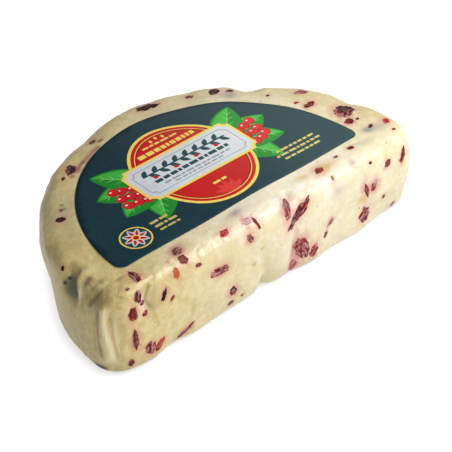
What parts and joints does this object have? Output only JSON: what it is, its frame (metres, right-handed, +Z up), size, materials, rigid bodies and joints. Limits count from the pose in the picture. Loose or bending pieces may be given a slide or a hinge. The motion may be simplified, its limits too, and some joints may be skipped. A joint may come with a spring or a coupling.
{
  "type": "cranberry cheese half wheel",
  "caption": "Half a wheel of pale cream cheese with cranberries set in it, tightly film-wrapped, with a half-round paper label lying on its top.",
  "frame": {"origin": "middle of the flat base", "axes": "+X along the straight cut face, to the right as that face is seen; the cut face looks towards -Y; +Z up"},
  "size_m": [0.2156, 0.1266, 0.0484],
  "materials": {
    "cheese": "pale cream cheese under tight clear film, glossy",
    "label": "printed paper, dark blue-green, satin",
    "berry_dark": "dark red dried fruit, glossy, wrinkled",
    "berry_red": "bright red dried fruit, glossy",
    "berry_pale": "fruit seen through a thin skin of cheese, dusky pink"
  },
  "bodies": {
    "root": {"cheese": "cheese", "label": "label", "berry_01": "berry_dark", "berry_02": "berry_pale", "berry_03": "berry_dark", "berry_04": "berry_dark", "berry_05": "berry_pale", "berry_06": "berry_dark", "berry_07": "berry_red", "berry_08": "berry_dark", "berry_09": "berry_red", "berry_10": "berry_red", "berry_11": "berry_red", "berry_12": "berry_dark", "berry_13": "berry_red", "berry_14": "berry_pale", "berry_15": "berry_red", "berry_16": "berry_dark", "berry_17": "berry_red", "berry_18": "berry_pale", "berry_19": "berry_red", "berry_20": "berry_dark", "berry_21": "berry_dark", "berry_22": "berry_dark", "berry_23": "berry_pale", "berry_24": "berry_dark", "berry_25": "berry_red", "berry_26": "berry_pale", "berry_27": "berry_dark", "berry_28": "berry_red", "berry_29": "berry_dark", "berry_30": "berry_red", "berry_31": "berry_red", "berry_32": "berry_dark", "berry_33": "berry_dark", "berry_34": "berry_dark", "berry_35": "berry_dark", "berry_36": "berry_red", "berry_37": "berry_dark", "berry_38": "berry_red", "berry_39": "berry_dark", "berry_40": "berry_pale", "berry_41": "berry_dark", "berry_42": "berry_red", "berry_43": "berry_dark", "berry_44": "berry_pale", "berry_45": "berry_dark", "berry_46": "berry_red", "berry_47": "berry_dark", "berry_48": "berry_pale", "berry_49": "berry_dark", "berry_50": "berry_red"}
  },
  "joints": []
}
